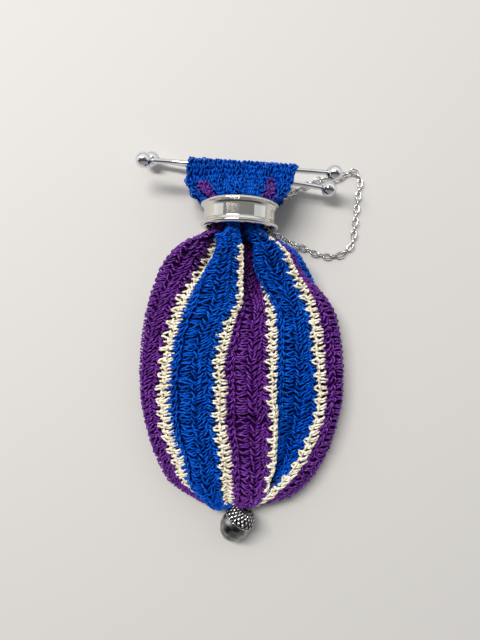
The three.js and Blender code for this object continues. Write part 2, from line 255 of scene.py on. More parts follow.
def addMarks(add, place, low, high):
    return add("ShaderNodeGroup", {"Place": place, "Low": low, "High": high}, node_tree=marksGroup)


def makeSteel(name, colour, low, high, height):
    material, add, shader = newMaterial(name)
    marks = addMarks(add, objectPlace(add), low, high)
    feed(shader, {
        "Base Color": colour, "Metallic": 1.0, "Roughness": (marks, "Roughness"),
        "Normal": bumpNode(add, (marks, "Height"), height, marksFinish["depth"])})
    return material


# antiqued casting: bright where it is rubbed, dark in the recesses, and the nut darkened all over as a
# painted dark reflection of the room
castFinish = {
    "bright": (0.82, 0.81, 0.80, 1), "dark": (0.02, 0.02, 0.022, 1), "tarnish": 420.0, "tarnishDetail": 5.0,
    "depth": 1.25, "from": 0.55, "to": 1.5, "roughness": (0.07, 0.2),
}


def makeCasting(name):
    look = castFinish
    material, add, shader = newMaterial(name)
    place = objectPlace(add)
    tarnish = noise(add, place, look["tarnish"], look["tarnishDetail"])
    # patina in the hollows and the nut's painted dark reflection darken the colour here
    depth = add(
        "ShaderNodeMath", {0: attribute(add, "patinaAndPaintedReflection"), 1: look["depth"], 2: tarnish},
        operation="MULTIPLY_ADD")
    factor = add(
        "ShaderNodeMapRange", {"Value": depth, "From Min": look["from"], "From Max": look["to"]})
    marks = addMarks(add, place, *look["roughness"])
    feed(shader, {
        "Base Color": blend(add, factor, look["bright"], look["dark"]),
        "Roughness": (marks, "Roughness"), "Metallic": 1.0})
    return material


blueYarn = makeYarn("blueYarn", "blue")
purpleYarn = makeYarn("purpleYarn", "purple")
creamYarn = makeYarn("creamYarn", "cream")
casingYarn = makeYarn("casingYarn", "blue", "purple")
gapShadeCloth = makeWallCloth("gapShadeCloth")
ringSteel = makeSteel("ringSteel", (0.70, 0.68, 0.63, 1), 0.03, 0.08, 0.04)
barSteel = makeSteel("barSteel", (0.74, 0.74, 0.75, 1), 0.06, 0.14, 0.05)
chainSteel = makeSteel("chainSteel", (0.58, 0.57, 0.56, 1), 0.08, 0.18, 0.05)
castSilver = makeCasting("castSilver")
print("materials ready")


# mesh helpers
def addPiece(name, mesh, material):
    mesh.materials.append(material)
    mesh.shade_smooth()
    return addObject(name, mesh)


def meshFrom(name, points, faces):
    mesh = bpy.data.meshes.new(name)
    mesh.from_pydata(toFrame(points).tolist(), [], [tuple(int(i) for i in f) for f in faces])
    mesh.update()
    return mesh


def addAttribute(mesh, name, values, kind="FLOAT"):
    layer = mesh.attributes.new(name=name, type=kind, domain="POINT")
    flat = np.asarray(values, float).ravel()
    layer.data.foreach_set("vector" if kind == "FLOAT_VECTOR" else "value", flat)


def gridFaces(rows, columns, wrapColumns=False, wrapRows=False, start=0, flip=False):
    faces = []
    for r in range(rows if wrapRows else rows - 1):
        here, there = start + r * columns, start + (r + 1) % rows * columns
        for c in range(columns if wrapColumns else columns - 1):
            after = (c + 1) % columns
            quad = [here + c, here + after, there + after, there + c]
            faces.append(quad[::-1] if flip else quad)
    return faces


# length along a line of points up to each of them, and the points at given lengths
def lengthsOf(line):
    return np.concatenate([[0], np.cumsum(np.linalg.norm(np.diff(line, axis=0), axis=1))])


def pointsAt(spots, lengths, line):
    return np.stack([np.interp(spots, lengths, line[:, axis]) for axis in range(3)], axis=1)


def ease(t):
    t = np.clip(t, 0, 1)
    return t * t * (3 - 2 * t)


def mix(a, b, t):
    return a + (b - a) * t


# a fade along the purse, 0 at the row's place named to and 1 at its place named from
def fade(y, row):
    return ease((y - row["to"]) / (row["from"] - row["to"]))


# pouch: cross sections from the neck's top edge to the foot
pouchShape = {
    "columns": ("y", "left", "right", "mid", "top", "base"),
    "sections": np.array([
        (4.7, 9.6, 9.6, 12.2, 21.8, 2.6),
        (-4.6, 9.6, 9.6, 12.2, 21.8, 2.6),
        (-6.7, 16.6, 13.2, 10.6, 21.2, 0.4),
        (-10.8, 23.2, 19.4, 8.6, 19.2, -1.6),
        (-17.5, 27.2, 23.8, 6.8, 16.4, -2.5),
        (-29, 30.6, 30.8, 5.8, 14, -2.5),
        (-44, 32.6, 33.6, 5.3, 12.8, -2.5),
        (-58, 32.6, 33.6, 5, 12.2, -2.5),
        (-70.5, 30.1, 30.8, 4.8, 11.2, -2.5),
        (-79, 27, 26.6, 4.5, 10, -2.2),
        (-85.5, 23.6, 22, 4.2, 8.8, -1.6),
        (-90, 17.4, 16.2, 4, 7.4, -0.4),
        (-92.4, 13, 8.6, 3.8, 6, 1.4)]),
    "stationY": (-4.6, -34, -66, -90),
    "footPole": (1.8, -93.0, 4.2), "footLobe": 0.9, "lobeWidth": 12, "crest": 0.8,
    "fineColumns": 32, "fineRows": 240, "roughColumns": 6,
    "dent": {"x": 2, "y": -64.5, "spanX": 7, "spanY": 2.3, "depth": 2.6},
    "fold": {"stripe": 2, "depth": -5.5, "from": -14, "to": -38},
    "overhangs": table(
        "stripe degrees span from to",
        (1, 9, 0.3, -5.4, -8.2),
        (2, 9, 0.3, -10, -27),
        (3, 16, 0.3, -13, -32)),
    "hangFade": {"from": -6.0, "to": -2.6}, "ringFade": {"from": -8, "to": -4}, "ringTuck": 0.5,
}
# tucks that pull single seams into the neck's folds, and how far the seams lean off their straight way
seamTucks = table(
    "seam depth from to",
    (0, -2.0, -9, -24),
    (1, -4.8, -13, -28),
    (2, 1.7, -14, -32),
    (3, -5.4, -20, -38),
    (4, 2.6, -9, -24),
    (5, 3.5, -9, -24))
seamLeans = table(
    "seam y degrees",
    (1, (-92.4, -88, -81, -76, -72, -68, -38, -32, -26, -20, -14, -9.6, -6.4, -4.6),
     (-8, -9, -7.5, -7, -2.5, 0, 0, -3, -7, -13, -19, -23, -12, -2)),
    (2, (-92.4, -88, -76, -54, -46, -38, -33, -28, -10, -4.6),
     (8, 0, -1.5, 0, 3.5, 1, -1, -8, -9.5, -6)),
    (3, (-92.4, -90, -86, -81, -74, -66, -56, -34, -28, -24, -17, -10.9, -7.5, -4.6),
     (-20, -12, -2, -4.5, -3, -3, 0, 0, -2, -5, -12, -20, -23, -20)),
    (4, (-92.4, -88, -84, -80, -76, -72, -69, -64, -58, -46, -28, -22, -14, -9, -5),
     (8, 7, 3, 0.5, 2.5, 3, 4.5, 2, 1.5, 2.5, 2, 0.5, 3, 4, 2)),
    (5, (-34, -28, -24, -20.8, -19.5, -16.7, -13.3, -9.8, -7.9, -4.6),
     (0, 7, 17, 30, 36, 44, 42, 34, 21, 10)))
# stripes from the left edge over the front and round the back, values at the four stations
stripes = table(
    "yarn seamDeg seam crest",
    ("purple", (194, 214, 217, 205), (-4.2, -0.6, -0.4, -2), (0, 0.3, 0.3, 0)),
    ("blue", (137, 134.5, 141, 150), (-4.2, -0.3, 0, -1), (0, 1.5, 0.8, 2)),
    ("purple", (95, 96.5, 102, 100), (-4, -0.2, 0.2, -0.5), (-5.2, -1.2, -0.4, 1.8)),
    ("blue", (87, 72, 72, 66), (-4.2, -0.6, 1, -0.5), (0, -0.4, -4.0, -2.8)),
    ("purple", (33, 40.5, 40.8, 55), (-4.2, 0.2, 1.3, 0.8), (-3, 0.6, 0.6, 0.8)),
    ("blue", (-12, -40, -43, -20), (-5, -0.6, -0.4, -2), (0, 0.5, 0.2, 0)),
    ("purple", (-62, -79, -79, -70), (-2.4, -0.5, -0.4, -2), (0, 0, 0, 0)),
    ("blue", (-112, -110, -110, -112), (-2.4, -0.5, -0.4, -2), (0, 0.3, 0.2, 0)))


# one column of the section table between its rows, as a smooth curve through them
def sectionAt(key, place):
    column = pouchShape["sections"][:, pouchShape["columns"].index(key)]
    last = len(column) - 1
    i = np.minimum(np.floor(place).astype(int), last - 1)
    t = place - i
    before, start, end, after = (column[np.clip(i + step, 0, last)] for step in (-1, 0, 1, 2))
    slopeIn = np.where(i == 0, end - start, (end - before) / 2)
    slopeOut = np.where(i == last - 1, end - start, (after - start) / 2)
    return smoothBetween(start, end, slopeIn, slopeOut, t)


def smoothBetween(start, end, slopeIn, slopeOut, t):
    return (start + slopeIn * t + (3 * (end - start) - 2 * slopeIn - slopeOut) * t ** 2
            + (2 * (start - end) + slopeIn + slopeOut) * t ** 3)


def stationMix(values, y):
    stations = pouchShape["stationY"]
    result = np.full_like(y, values[0])
    for n in range(3):
        share = ease((stations[n] - y) / (stations[n] - stations[n + 1]))
        result = np.where(y <= stations[n], mix(values[n], values[n + 1], share), result)
    return result


# angle round the section, lift from it and tuck into the neck's folds, at a place across the eight stripes
def foldAt(across, y):
    count = len(stripes)
    k = np.floor(across).astype(int) % count
    local = across - np.floor(across)
    degrees, seams, crests = [
        np.array([stationMix(s[key], y) for s in stripes]) for key in ("seamDeg", "seam", "crest")]
    for row in seamLeans:
        steps = [np.interp(y + step, row["y"], row["degrees"]) for step in (-2, -1, 0, 1, 2)]
        degrees[row["seam"]] += np.mean(steps, axis=0)
    spot = np.arange(len(y))
    after = (k + 1) % count
    turn = mix(degrees[k, spot], degrees[after, spot] - np.where(k == count - 1, 360, 0), local)
    for hang in pouchShape["overhangs"]:
        share = fade(y, hang) * fade(y, pouchShape["hangFade"])
        push = hang["degrees"] * share * np.sin(math.pi * np.clip(local / hang["span"], 0, 1))
        turn = turn + np.where(k == hang["stripe"], push, 0)
    seam = mix(seams[k, spot], seams[after, spot], local)
    rise = np.sin(math.pi * local) ** pouchShape["crest"]
    tucks = np.zeros_like(seams)
    for row in seamTucks:
        tucks[row["seam"]] = row["depth"] * fade(y, row)
    fold = pouchShape["fold"]
    inRing = mix(pouchShape["ringTuck"], 1.0, fade(y, pouchShape["ringFade"]))
    atSeam = mix(tucks[k, spot], tucks[after, spot], local)
    atFold = np.where(k == fold["stripe"], fold["depth"] * fade(y, fold), 0.0)
    return np.radians(turn), mix(seam, crests[k, spot], rise), mix(atSeam, atFold, rise) * inRing


def pouchPoint(across, place):
    shape = pouchShape
    y = sectionAt("y", place)
    angle, lift, tuck = foldAt(across, y)
    c, s = np.cos(angle), np.sin(angle)
    foot = fade(y, {"from": shape["stationY"][3], "to": shape["stationY"][2]})
    mid = sectionAt("mid", place)
    wide = np.where(c < 0, sectionAt("left", place), sectionAt("right", place))
    tall = np.where(s > 0, sectionAt("top", place) - mid, mid - sectionAt("base", place))
    out = lift + tuck
    lobe = shape["footLobe"] * foot * lift * np.clip(wide / shape["lobeWidth"], 0, 1)
    length = np.hypot(c / wide, s / tall)
    x = wide * c + c / wide / length * out
    z = mid + tall * s + s / tall / length * out
    dent = shape["dent"]
    near = np.exp(-((x - dent["x"]) / dent["spanX"]) ** 2 - ((y - dent["y"]) / dent["spanY"]) ** 2)
    z = z - np.where(s > 0, dent["depth"] * near, 0)
    return np.stack([x, y - lobe, np.maximum(z, 0.0)], axis=1)


# one row of the pouch, with its columns at equal steps of cloth inside each stripe
def pouchRow(place, perStripe):
    last = len(pouchShape["sections"]) - 1
    fine = pouchShape["fineColumns"]
    across = np.linspace(0, len(stripes), len(stripes) * fine + 1)
    ring = pouchPoint(across, np.full(len(across), min(place, last), float))
    row = []
    for k in range(len(stripes)):
        part = ring[k * fine:(k + 1) * fine + 1]
        length = lengthsOf(part)
        row.append(pointsAt(np.arange(perStripe) / perStripe * length[-1], length, part))
    return mix(np.concatenate(row), np.array(pouchShape["footPole"]), max(place - last, 0))


# a grid over the pouch, rows at equal steps along the cloth, ending in the foot's dimple
def pouchGrid(rows, columns):
    fine = np.linspace(0, len(pouchShape["sections"]), pouchShape["fineRows"])
    rings = np.array([pouchRow(p, pouchShape["roughColumns"]) for p in fine])
    steps = np.linalg.norm(np.diff(rings, axis=0), axis=2).mean(axis=1)
    length = np.concatenate([[0], np.cumsum(steps)])
    places = np.interp(np.linspace(0, length[-1], rows), length, fine)
    return np.array([pouchRow(p, columns // len(stripes)) for p in places]), length[-1]


# outward normals of a grid, judged by the middle row of a tube and by the whole of a flap
def gridNormals(grid, closed=True):
    if closed:
        across = np.roll(grid, -1, axis=1) - np.roll(grid, 1, axis=1)
    else:
        across = np.gradient(grid, axis=1)
    normal = np.cross(across, np.gradient(grid, axis=0))
    normal = normal / np.maximum(np.linalg.norm(normal, axis=2, keepdims=True), 1e-9)
    middle = len(grid) // 2
    part = slice(middle, middle + 1) if closed else slice(None)
    outward = grid[part] - grid[part].mean(axis=(0, 1))
    return -normal if (normal[part] * outward).sum() < 0 else normal


# a skin that stitches are laid on: points, a flat map and the outward direction
def makeSkin(name, grid, normals, closed, patch=None):
    if closed:
        grid = np.concatenate([grid, grid[:, :1]], axis=1)
        normals = np.concatenate([normals, normals[:, :1]], axis=1)
    rows, columns = grid.shape[:2]
    mesh = meshFrom(name, grid.reshape(-1, 3), gridFaces(rows, columns))
    addAttribute(mesh, "skinNormal", normals.reshape(-1, 3), "FLOAT_VECTOR")
    addAttribute(mesh, "patch", np.zeros(rows * columns) if patch is None else patch)
    layer = mesh.uv_layers.new(name="stitchMap")
    corners = np.array([loop.vertex_index for loop in mesh.loops])
    uv = np.stack([(corners % columns) / (columns - 1), (corners // columns) / (rows - 1)], axis=1)
    layer.data.foreach_set("uv", uv.ravel())
    return addObject(name, mesh)


# strands of one stitch as a small drawing: from and to in millimetres across and stitches along
chartShape = {"knots": 6, "hump": 0.7}


def makeChart(name, strands, pitch, dive):
    points, arms, edges = [], [], []
    knots = chartShape["knots"]
    for startX, startY, endX, endY, wave, rise in strands:
        first = len(points)
        middleX, middleY = (startX + endX) / 2, (startY + endY) / 2 * pitch
        for n in range(knots):
            t = n / (knots - 1)
            hump = math.sin(math.pi * t) ** chartShape["hump"]
            x = mix(startX, endX, t)
            y = mix(startY, endY, t) * pitch + wave * math.sin(2 * math.pi * t)
            points.append((x, y, -dive + (dive + rise) * hump))
            arms.append((x - middleX, y - middleY, 0.0))
            if n:
                edges.append((first + n - 1, first + n))
    mesh = bpy.data.meshes.new(name)
    mesh.from_pydata(points, edges, [])
    addAttribute(mesh, "arm", arms, "FLOAT_VECTOR")
    return addObject(name, mesh)


# lays a chart on every point of a flat grid, wraps it on a skin and gives the strands their thickness
yarnTree = {
    "drift": 0.42, "driftDetail": 2.0, "swingSeed": 101.0, "stretchSeed": 202.0, "edge": 0.0005, "sides": 5,
}


def makeStitchTree():
    tree, add, given = newTree("layStitches", "GeometryNodeTree", {
        "Geometry": "Geometry", "Chart": "Object", "Skin": "Object", "Yarn": "Material", "Seed": "Int",
        "Thread Radius": "Float", "Shift": "Vector", "Warp": "Vector", "Swing": "Float", "Stretch": "Float",
        "Flat Width": "Float", "Flat Length": "Float"}, {"Geometry": "Geometry"})
    seed = (given, "Seed")
    own = add("GeometryNodeCurveOfPoint")
    chart, skin = [add("GeometryNodeObjectInfo", {"Object": (given, key)}) for key in ("Chart", "Skin")]

    def named(name, kind="FLOAT_VECTOR"):
        return add("GeometryNodeInputNamedAttribute", {"Name": name}, data_type=kind)

    def stored(geometry, name, value):
        return add(
            "GeometryNodeStoreNamedAttribute", {"Geometry": geometry, "Name": name, "Value": value},
            data_type="FLOAT", domain="POINT")

    def chance(kind, least, most, seedFeed):
        feeds = {"Min": least, "Max": most, "ID": own, "Seed": seedFeed}
        return add("FunctionNodeRandomValue", feeds, data_type=kind)

    def upTo(name, seedStep):
        least = mathNode(add, "MULTIPLY", (given, name), -1.0)
        return chance("FLOAT", least, (given, name), mathNode(add, "ADD", seed, seedStep))

    laid = add("GeometryNodeInstanceOnPoints", {
        "Points": (given, "Geometry"), "Instance": (chart, "Geometry"), "Scale": named("widen")})
    real = add("GeometryNodeRealizeInstances", {"Geometry": laid})
    strands = add("GeometryNodeMeshToCurve", {"Mesh": real})
    lowest = vectorNode(add, "MULTIPLY", (given, "Shift"), (-1.0, -1.0, -1.0))
    nudge = chance("FLOAT_VECTOR", lowest, (given, "Shift"), seed)
    drift = add("ShaderNodeTexNoise", {
        "Vector": add("GeometryNodeInputPosition"), "W": seed, "Scale": yarnTree["drift"],
        "Detail": yarnTree["driftDetail"]}, noise_dimensions="4D")
    centred = vectorNode(add, "SUBTRACT", (drift, "Color"), (0.5, 0.5, 0.5))
    slack = vectorNode(add, "ADD", vectorNode(add, "MULTIPLY", centred, (given, "Warp")), nudge)
    arm = named("arm")
    angle = upTo("Swing", yarnTree["swingSeed"])
    longer = mathNode(add, "ADD", upTo("Stretch", yarnTree["stretchSeed"]), 1.0)
    swung = add("ShaderNodeVectorRotate", {"Vector": arm, "Angle": angle}, rotation_type="Z_AXIS")
    moved = vectorNode(add, "SUBTRACT", vectorNode(add, "SCALE", swung, longer), arm)
    offset = vectorNode(add, "ADD", slack, moved)
    loose = add("GeometryNodeSetPosition", {"Geometry": strands, "Offset": offset})
    toned = stored(loose, "tone", chance("FLOAT", 0.0, 1.0, seed))
    place = add("GeometryNodeInputPosition")
    parts = add("ShaderNodeSeparateXYZ", {"Vector": place})
    across = mathNode(add, "DIVIDE", (parts, "X"), (given, "Flat Width"))
    along = mathNode(add, "DIVIDE", (parts, "Y"), (given, "Flat Length"))
    held = add("ShaderNodeClamp", {"Value": along, "Min": yarnTree["edge"], "Max": 1 - yarnTree["edge"]})
    spot = add("ShaderNodeCombineXYZ", {"X": mathNode(add, "FRACT", across), "Y": held})

    def onSkin(source, kind):
        return add("GeometryNodeSampleUVSurface", {
            "Mesh": (skin, "Geometry"), "Value": source, "UV Map": named("stitchMap"), "Sample UV": spot},
            data_type=kind)

    height = mathNode(add, "MULTIPLY", (parts, "Z"), 0.001)
    lift = vectorNode(add, "SCALE", onSkin(named("skinNormal"), "FLOAT_VECTOR"), height)
    there = vectorNode(add, "ADD", onSkin(place, "FLOAT_VECTOR"), lift)
    marked = stored(toned, "patch", onSkin(named("patch", "FLOAT"), "FLOAT"))
    wrapped = add("GeometryNodeSetPosition", {"Geometry": marked, "Position": there})
    way = add("GeometryNodeSplineParameter")
    measured = stored(wrapped, "along", mathNode(add, "MULTIPLY", (way, "Length"), 1000.0))
    circle = add("GeometryNodeCurvePrimitiveCircle", {
        "Resolution": yarnTree["sides"], "Radius": (given, "Thread Radius")})
    wound = stored(circle, "around", (way, "Factor"))
    thread = add("GeometryNodeCurveToMesh", {"Curve": measured, "Profile Curve": wound, "Fill Caps": True})
    smooth = add("GeometryNodeSetShadeSmooth", {0: thread})
    final = add("GeometryNodeRealizeInstances", {"Geometry": smooth})
    dyed = add("GeometryNodeSetMaterial", {"Geometry": final, "Material": (given, "Yarn")})
    add("NodeGroupOutput", {"Geometry": dyed})
    return tree


stitchTree = makeStitchTree()


# runs a tree on plain points and keeps the result as a plain mesh
def runTree(name, tree, points, vectors, values):
    mesh = bpy.data.meshes.new(name + "Points")
    mesh.from_pydata([tuple(p) for p in points], [], [])
    for key, rows in vectors.items():
        addAttribute(mesh, key, rows, "FLOAT_VECTOR")
    carrier = addObject(name + "Points", mesh)
    modifier = carrier.modifiers.new("nodes", "NODES")
    modifier.node_group = tree
    for item in tree.interface.items_tree:
        if item.in_out == "INPUT" and item.name in values:
            modifier[item.identifier] = values[item.name]
    graph = bpy.context.evaluated_depsgraph_get()
    result = bpy.data.meshes.new_from_object(
        carrier.evaluated_get(graph), preserve_all_data_layers=True, depsgraph=graph)
    result.name = name
    spots = np.empty(len(result.vertices) * 3)
    result.vertices.foreach_get("co", spots)
    spots[2::3] = np.maximum(spots[2::3], 0)
    result.vertices.foreach_set("co", spots)
    carrier.modifiers.remove(modifier)
    bpy.data.objects.remove(carrier)
    print(name, len(result.polygons), "faces")
    return addObject(name, result)


# stitches of one chart at the given cells of a skin, with its flat size and the settings of its yarn
def layStitches(name, cells, widths, chart, skin, flat, yarn, look, seed):
    return runTree(name, stitchTree, cells, {"widen": [(width, 1, 1) for width in widths]}, {
        "Chart": chart, "Skin": skin, "Thread Radius": look["radius"], "Shift": look["shift"],
        "Warp": look["warp"], "Swing": look["swing"], "Stretch": look["stretch"], "Seed": seed,
        "Flat Width": flat[0], "Flat Length": flat[1], "Yarn": yarn})


# crochet: one chart for the coloured stripes and one for the cream seams
crochet = {
    "pitch": 2.1, "stripe": 18.0, "sink": 0.8, "dive": 0.5, "skinRows": 240, "skinColumns": 192,
    "radius": 0.00028, "shift": (0.22, 0.22, 0.1), "warp": (2.4, 2.2, 0.3), "swing": 0.26, "stretch": 0.16,
    "firstRow": 1.0, "lastRow": 0.3, "closedWiden": 1.3, "widenY": (-92, -78, -60, -32, -20),
}
seamLook = {**crochet, "radius": 0.00037, "shift": (0.2, 0.16, 0.08)}
# columns: from across, from along, to across, to along, wave, rise
colourStrands = [
    (1.0, 0.50, 2.9, 0.24, 0.0, 0.30),
    (1.0, 0.60, 2.9, 0.94, 0.0, 0.30),
    (2.0, 0.78, 3.6, 0.55, 0.0, 0.10),
    (3.2, 0.98, 4.2, 0.18, 0.0, 0.40),
    (4.0, 0.62, 4.4, -0.10, 0.0, 0.15),
    (4.8, 0.02, 4.8, 0.98, 0.0, 0.40),
    (5.5, 0.24, 9.1, 0.20, 0.22, 0.42),
    (5.5, 0.74, 9.1, 0.72, -0.20, 0.40),
    (6.2, 0.50, 8.6, 0.46, 0.10, 0.12),
    (9.2, 0.00, 10.6, 0.72, 0.0, 0.42),
    (9.7, 0.55, 11.0, 1.15, 0.0, 0.15),
    (11.0, 0.96, 12.6, 0.24, 0.0, 0.42),
    (11.2, 0.45, 12.7, -0.18, 0.0, 0.25),
    (12.7, 0.90, 14.2, 0.22, 0.0, 0.42),
    (12.9, 0.40, 14.3, -0.24, 0.0, 0.25),
    (14.4, 0.05, 16.4, 0.60, 0.0, 0.38),
    (14.3, 0.50, 16.1, 0.84, 0.0, 0.28),
    (14.9, 1.02, 16.8, 0.74, 0.0, 0.30),
]
creamStrands = [
    (-2.2, 0.55, 0.1, 0.15, 0.0, 0.60),
    (-2.2, 0.64, 0.1, 1.05, 0.0, 0.60),
    (-0.4, 0.00, 0.2, 0.95, 0.0, 0.50),
    (-0.9, 0.35, 0.6, 0.62, 0.0, 0.40),
    (0.0, 0.50, 2.1, 0.12, 0.0, 0.60),
    (0.3, 0.78, 1.9, 0.52, 0.0, 0.50),
    (-0.4, 1.02, 0.3, 1.98, 0.0, 0.50),
    (-1.2, 1.55, 0.8, 1.32, 0.1, 0.45),
    (0.0, 1.55, 2.1, 1.15, 0.0, 0.60),
    (0.3, 1.82, 1.9, 1.56, 0.0, 0.50),
]

skinGrid, clothLength = pouchGrid(crochet["skinRows"], crochet["skinColumns"])
skinNormals = gridNormals(skinGrid)
skinNormals[-1] = skinNormals[-2]
flatWidth = crochet["stripe"] * len(stripes)
pouchSkin = makeSkin("pouchSkin", skinGrid - skinNormals * crochet["sink"], skinNormals, True)
colourChart = makeChart("colourChart", colourStrands, crochet["pitch"], crochet["dive"])
creamChart = makeChart("creamChart", creamStrands, crochet["pitch"], crochet["dive"])
rowCount = int((clothLength - crochet["lastRow"] - crochet["firstRow"]) / crochet["pitch"])
print("cloth", round(float(clothLength), 1), "mm long,", rowCount, "rows")


def stitchCells(columns, step):
    return [(crochet["stripe"] * k, crochet["firstRow"] + crochet["pitch"] * row, 0.0)
            for k in columns for row in range(0, rowCount - step + 1, step)]


# stretches of the seams that lie closed in the folds of the neck and the foot, where no cream comes up
closedSeams = table("seam from to", (0, -99, -86), (1, -99, -85), (2, -8.5, 9), (3, -13, 9), (5, -27, 9))
# how much wider than their chart the cream seams are worked, from the foot to the neck
plainWidens = (1.1, 1.1, 1.1, 1.1, 1.0)
seamWidens = {
    1: (1.5, 1.45, 1.15, 1.15, 1.0),
    2: (1.3, 1.15, 1.15, 1.1, 1.0),
    3: (1.6, 1.5, 1.3, 1.2, 1.0),
    4: (1.9, 1.75, 1.2, 1.15, 1.55),
}


# the seam that a cell lies on, and its place along the purse
def cellPlace(cell):
    row = round(cell[1] / clothLength * (crochet["skinRows"] - 1))
    seam = round(cell[0] / crochet["stripe"])
    return seam, float(skinGrid[row, seam * crochet["skinColumns"] // len(stripes), 1])


def isClosed(cell):
    seam, y = cellPlace(cell)
    return any(seam == closed["seam"] and closed["from"] < y < closed["to"] for closed in closedSeams)


def seamWidth(cell):
    seam, y = cellPlace(cell)
    return float(np.interp(y, crochet["widenY"], seamWidens.get(seam, plainWidens)))


pouchFlat = (flatWidth, float(clothLength))
pouchStitches = []
for name, columns, yarn, seed in (
        ("blueFrontStitches", (1, 3), blueYarn, 11), ("purpleFrontStitches", (2, 4), purpleYarn, 12),
        ("blueBackStitches", (5, 7), blueYarn, 14), ("purpleBackStitches", (0, 6), purpleYarn, 15)):
    cells = stitchCells(columns, 1)
    pouchStitches.append(layStitches(
        name, cells, [1] * len(cells), colourChart, pouchSkin, pouchFlat, yarn, crochet, seed))
seamCells = stitchCells(range(len(stripes)), 2)
closedCells = [cell for cell in seamCells if isClosed(cell)]
creamCells = [cell for cell in seamCells if not isClosed(cell)]
closedWidths = [crochet["closedWiden"]] * len(closedCells)
creamWidths = [seamWidth(cell) for cell in creamCells]
for name, cells, widths, yarn, seed in (
        ("closedSeamStitches", closedCells, closedWidths, blueYarn, 16),
        ("creamStitches", creamCells, creamWidths, creamYarn, 13)):
    pouchStitches.append(layStitches(
        name, cells, widths, creamChart, pouchSkin, pouchFlat, yarn, seamLook, seed))


# the cloth wall under the stitches, open at the neck and drawn in at the foot; its near-black colour is
# painted shade for the gaps between the strands
wallSize = {
    "rows": 120, "columns": 160, "below": 1.25, "thick": 0.6, "foot": {"from": -88, "to": -82},
    "outerFoot": (0.9, 1, 0.6), "innerFoot": (0.84, 1, 0.45), "seamHalf": 1.3,
}


def makeWall():
    rows, columns = wallSize["rows"], wallSize["columns"]
    cloth, _ = pouchGrid(rows, columns)
    normals = gridNormals(cloth)
    for _ in range(2):
        normals = (np.roll(normals, 1, axis=1) + 2 * normals + np.roll(normals, -1, axis=1)) / 4
    foot = fade(cloth[..., 1:2], wallSize["foot"])
    middle = cloth.mean(axis=1, keepdims=True)
    points, faces = [], []
    for depth, shares, flip in (
            (wallSize["below"], wallSize["outerFoot"], False),
            (wallSize["below"] + wallSize["thick"], wallSize["innerFoot"], True)):
        small = middle + (cloth - middle) * np.array(shares) + np.array([0, depth, 0])
        layer = mix(cloth - normals * depth, small, foot)
        start = len(points)
        points.extend(layer[:-1].reshape(-1, 3))
        faces += gridFaces(rows - 1, columns, True, start=start, flip=flip)
        points.append(layer[-1].mean(axis=0))
        lastRow = start + (rows - 2) * columns
        for c in range(columns):
            fan = [lastRow + c, lastRow + (c + 1) % columns, len(points) - 1]
            faces.append(fan[::-1] if flip else fan)
    inner = (rows - 1) * columns + 1
    for c in range(columns):
        d = (c + 1) % columns
        faces.append([d, c, inner + c, inner + d])
    mesh = meshFrom("pouchWall", np.array(points), faces)
    across = np.array([*np.tile(np.arange(columns) / columns * len(stripes), rows - 1), 0] * 2)
    isPurple = np.array([stripes[int(a) % len(stripes)]["yarn"] == "purple" for a in across], float)
    fromSeam = np.abs(across - np.round(across)) * crochet["stripe"]
    addAttribute(mesh, "stripe", isPurple)
    addAttribute(mesh, "seam", ease(wallSize["seamHalf"] - fromSeam))
    return addPiece("pouchWall", mesh, gapShadeCloth)


pouchWall = makeWall()
print("pouch wall ready")


# bars: frames along the rods
barShape = {
    "ball": 2.5, "rod": 0.8, "spacing": 59.3, "thread": 1.5, "gap": 0.1, "room": 0.2, "lip": 0.12,
    "bevel": 0.25, "tip": 0.02, "mouthEdge": 0.03, "ballSteps": 24, "ballSegments": 36, "rodSegments": 28,
    "front": {"centre": (-0.2, 15.2, 13.6), "turn": -3.9, "rise": 0.0},
    "back": {"centre": (0.1, 15.7, 4.3), "turn": -10.1, "rise": 1.7},
}


def barFrame(side):
    bar = barShape[side]
    turn, rise = math.radians(bar["turn"]), math.radians(bar["rise"])
    along = np.array([math.cos(turn) * math.cos(rise), math.sin(turn) * math.cos(rise), math.sin(rise)])
    beside = np.array([-math.sin(turn), math.cos(turn), 0.0])
    return np.array(bar["centre"]), along, beside, np.cross(along, beside)


# turns a profile of distance along and radius round an axis
def turned(profile, centre, along, beside, above, segments, closed=False):
    points = []
    for x, radius in profile:
        for n in range(segments):
            angle = 2 * math.pi * n / segments
            points.append(centre + along * x + radius * (beside * math.cos(angle) + above * math.sin(angle)))
    return np.array(points), gridFaces(len(profile), segments, True, closed)


def capEnds(faces, rows, segments):
    faces.append(list(range(segments))[::-1])
    faces.append(list(range((rows - 1) * segments, rows * segments)))
    return faces


def turnedPiece(name, profile, centre, along, beside, above, segments):
    points, faces = turned(profile, centre, along, beside, above, segments)
    return addPiece(name, meshFrom(name, points, capEnds(faces, len(profile), segments)), barSteel)


def makeBall(side, sign):
    shape = barShape
    centre, along, beside, above = barFrame(side)
    radius, tip = shape["ball"], shape["tip"]
    hole = shape["rod"] + shape["gap"]
    mouth = math.asin(hole / radius)
    depth = -radius + shape["thread"] + shape["room"]
    profile = [(depth, tip), (depth, hole), (-radius * math.cos(mouth) + shape["lip"], hole)]
    for n in range(shape["ballSteps"] + 1):
        angle = mix(mouth + shape["mouthEdge"], math.pi - tip, n / shape["ballSteps"])
        profile.append((-radius * math.cos(angle), radius * math.sin(angle)))
    middle = centre + along * sign * shape["spacing"] / 2
    name = f"{side}Ball" + ("Right" if sign > 0 else "Left")
    return turnedPiece(name, profile, middle, along * sign, beside * sign, above, shape["ballSegments"])


def makeRod(side):
    half = barShape["spacing"] / 2 - barShape["ball"] + barShape["thread"]
    radius, bevel = barShape["rod"], barShape["bevel"]
    profile = [
        (-half, radius - bevel), (-half + bevel, radius), (half - bevel, radius), (half, radius - bevel)]
    return turnedPiece(f"{side}Rod", profile, *barFrame(side), barShape["rodSegments"])


barPieces = {}
for side in ("front", "back"):
    barPieces[side] = [makeRod(side), makeBall(side, -1), makeBall(side, 1)]
print("bars ready")


